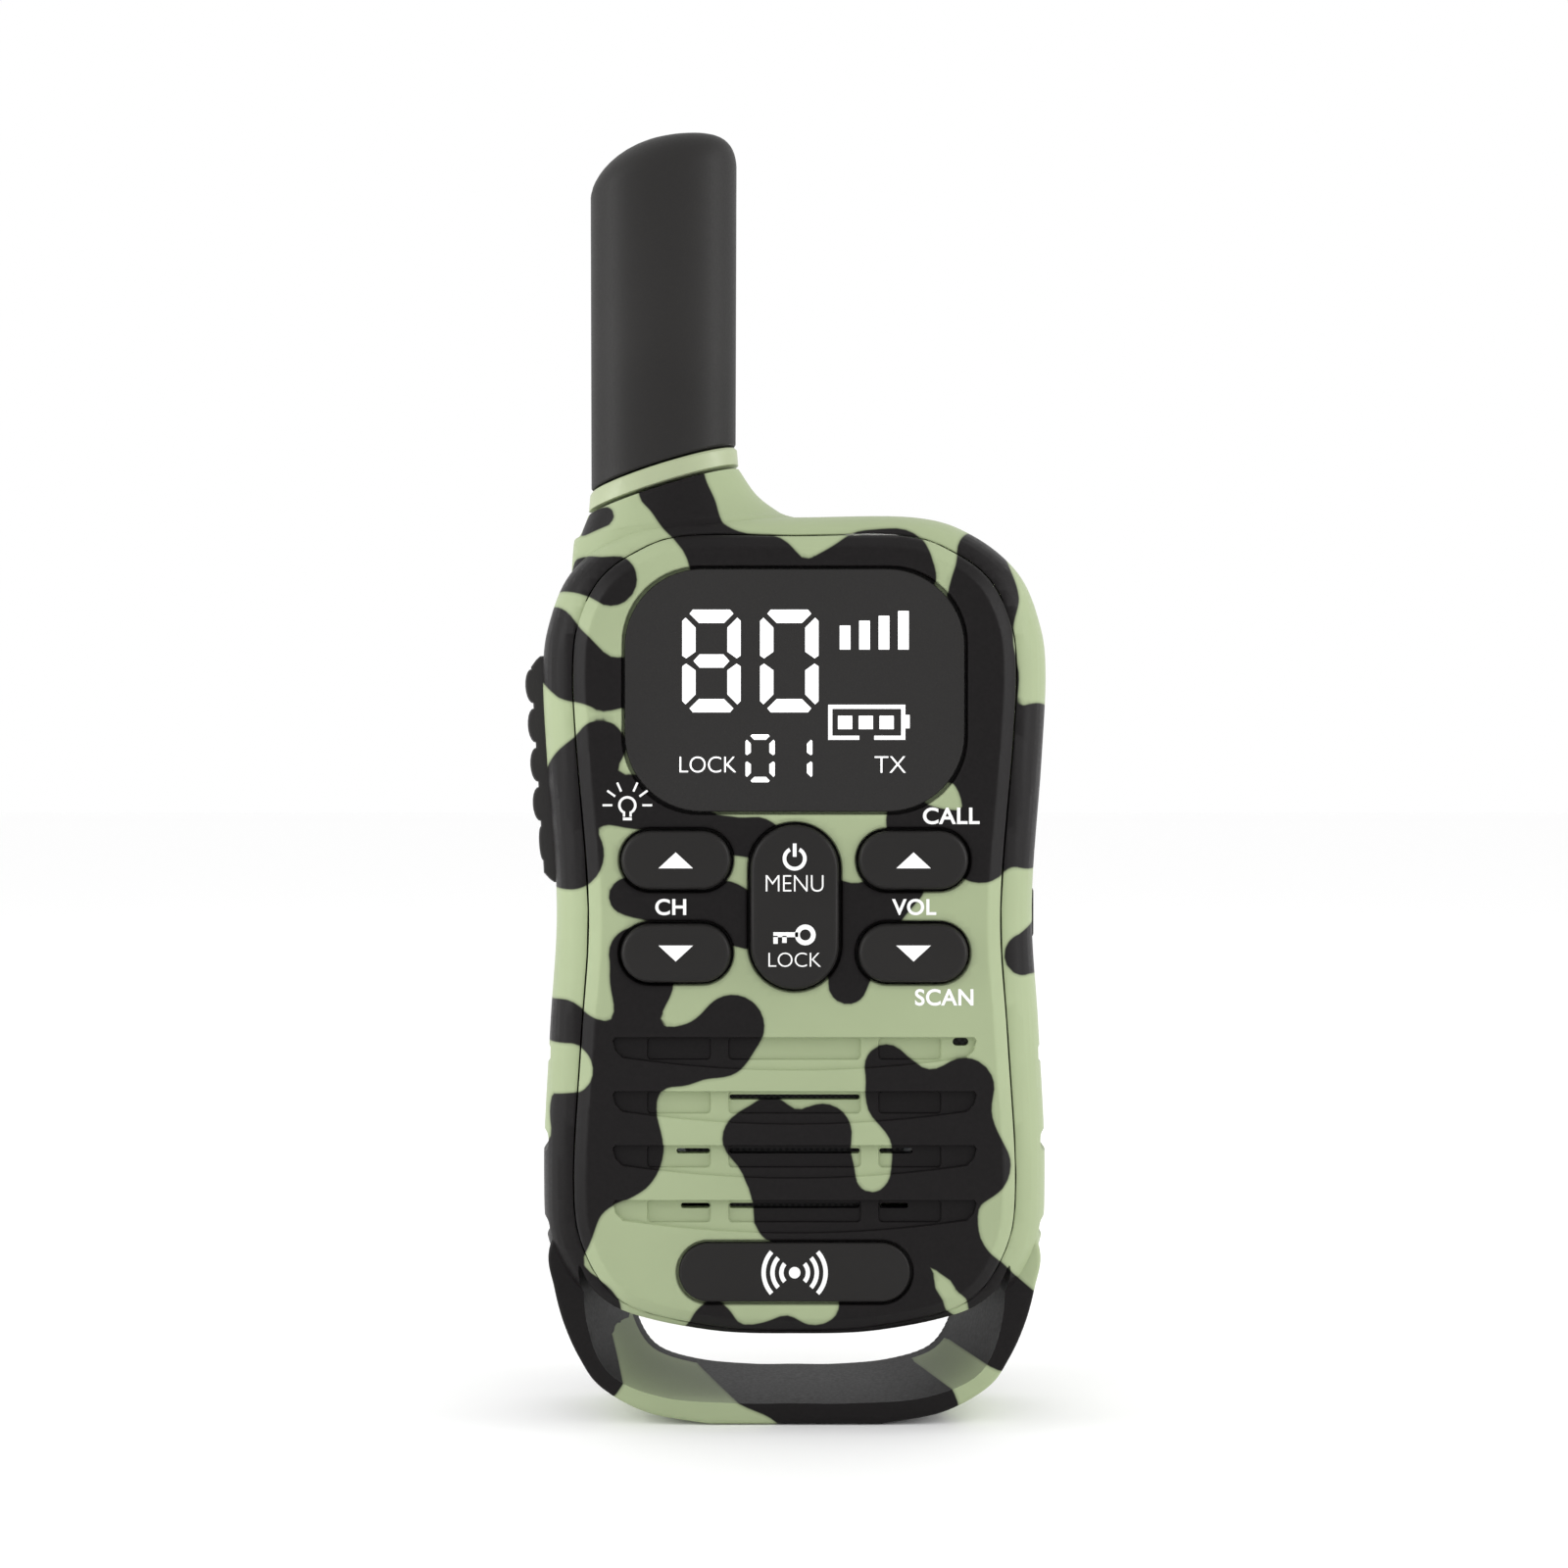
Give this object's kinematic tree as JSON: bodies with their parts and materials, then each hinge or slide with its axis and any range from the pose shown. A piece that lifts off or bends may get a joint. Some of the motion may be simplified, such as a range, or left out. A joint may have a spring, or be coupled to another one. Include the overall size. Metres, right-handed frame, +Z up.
{
  "type": "toy walkie talkie",
  "caption": "Small hand-held toy two-way radio with an offset stub antenna, display, oval keys, grille, side talk button, belt clip and lanyard loop.",
  "frame": {"origin": "centre of the flat foot of the lanyard loop, on the floor when the radio stands upright", "axes": "+Z up along the antenna, -Y out of the front with the display and keys, +X to the right seen from the front"},
  "size_m": [0.0608, 0.0325, 0.15],
  "materials": {
    "camo_plastic": "moulded plastic with a printed camouflage film, green and black",
    "collar_plastic": "plain green moulded plastic, satin",
    "black_rubber": "matte moulded rubber",
    "black_plastic": "satin moulded plastic",
    "smoked_acrylic": "smoked acrylic with a polished face",
    "lcd": "liquid crystal cell",
    "white_plastic": "white moulded plastic",
    "circuit_board": "green solder mask",
    "silicone": "translucent silicone rubber",
    "steel": "nickel-plated steel",
    "copper": "copper wire",
    "cone_paper": "pressed black paper",
    "speaker_cloth": "fine black mesh cloth",
    "cell_wrap": "printed shrink sleeve, plain",
    "clear_acrylic": "clear polished acrylic",
    "red_wire": "red wire insulation",
    "black_wire": "black wire insulation"
  },
  "bodies": {
    "housing": {"antenna_coil": "copper", "antenna_collar": "collar_plastic", "antenna_core": "white_plastic", "antenna_sleeve": "black_rubber", "battery_cell_1": "cell_wrap", "battery_cell_2": "cell_wrap", "battery_cell_3": "cell_wrap", "case_screw_1": "steel", "case_screw_2": "steel", "case_screw_3": "steel", "case_screw_4": "steel", "charge_jack": "steel", "contact_plate_1": "steel", "contact_plate_2": "steel", "contact_plate_3": "steel", "contact_spring_1": "steel", "contact_spring_2": "steel", "contact_spring_3": "steel", "display_lens": "smoked_acrylic", "flashlight_led": "white_plastic", "flashlight_lens": "clear_acrylic", "front_cover": "camo_plastic", "key_switch_1": "steel", "key_switch_2": "steel", "key_switch_3": "steel", "key_switch_4": "steel", "key_switch_5": "steel", "key_switch_6": "steel", "keypad_membrane": "silicone", "lcd_backlight": "white_plastic", "lcd_holder": "white_plastic", "lcd_module": "lcd", "main_board": "circuit_board", "microphone": "steel", "microphone_boot": "black_rubber", "nameplate": "black_plastic", "ptt_switch": "steel", "rear_shell": "camo_plastic", "rf_shield": "steel", "speaker_cloth": "speaker_cloth", "speaker_cone": "cone_paper", "speaker_frame": "steel", "speaker_gasket": "silicone", "speaker_magnet": "steel", "speaker_wire_black": "black_wire", "speaker_wire_red": "red_wire", "zebra_connector": "silicone"},
    "talk_button": {"ptt_button": "black_rubber"},
    "channel_up_key": {"key_ch_up": "black_plastic"},
    "channel_down_key": {"key_ch_down": "black_plastic"},
    "volume_up_key": {"key_vol_up": "black_plastic"},
    "volume_down_key": {"key_vol_down": "black_plastic"},
    "centre_rocker": {"menu_rocker": "black_plastic"},
    "door": {"battery_door": "camo_plastic", "clip_pin": "steel", "clip_spring": "steel"},
    "clip": {"belt_clip": "black_plastic"},
    "socket_cover": {"jack_cover": "black_rubber"}
  },
  "joints": [
    {"name": "talk_press", "type": "slide", "parent": "housing", "child": "talk_button", "axis": [1, 0, 0], "range_m": [0, 0.001], "stiffness_N_per_m": 400, "springref_m": -0.0006},
    {"name": "channel_up_press", "type": "slide", "parent": "housing", "child": "channel_up_key", "axis": [0, 1, 0], "range_m": [0, 0.0005], "stiffness_N_per_m": 300, "springref_m": -0.0005},
    {"name": "channel_down_press", "type": "slide", "parent": "housing", "child": "channel_down_key", "axis": [0, 1, 0], "range_m": [0, 0.0005], "stiffness_N_per_m": 300, "springref_m": -0.0005},
    {"name": "volume_up_press", "type": "slide", "parent": "housing", "child": "volume_up_key", "axis": [0, 1, 0], "range_m": [0, 0.0005], "stiffness_N_per_m": 300, "springref_m": -0.0005},
    {"name": "volume_down_press", "type": "slide", "parent": "housing", "child": "volume_down_key", "axis": [0, 1, 0], "range_m": [0, 0.0005], "stiffness_N_per_m": 300, "springref_m": -0.0005},
    {"name": "rocker_tilt", "type": "hinge", "parent": "housing", "child": "centre_rocker", "pos_m": [0, -0.0096, 0.0598], "axis": [1, 0, 0], "range_deg": [-2, 2], "stiffness_Nm_per_rad": 0.02},
    {"name": "door_hinge", "type": "hinge", "parent": "housing", "child": "door", "pos_m": [0, 0.0114, 0.0706], "axis": [1, 0, 0], "range_deg": [0, 75]},
    {"name": "clip_hinge", "type": "hinge", "parent": "door", "child": "clip", "pos_m": [0, 0.0147, 0.0595], "axis": [1, 0, 0], "range_deg": [0, 20], "stiffness_Nm_per_rad": 0.15, "springref_deg": -11.46},
    {"name": "socket_cover_hinge", "type": "hinge", "parent": "housing", "child": "socket_cover", "pos_m": [0.0286, 0.00315, 0.0587], "axis": [0, 0, 1], "range_deg": [0, 110]}
  ]
}
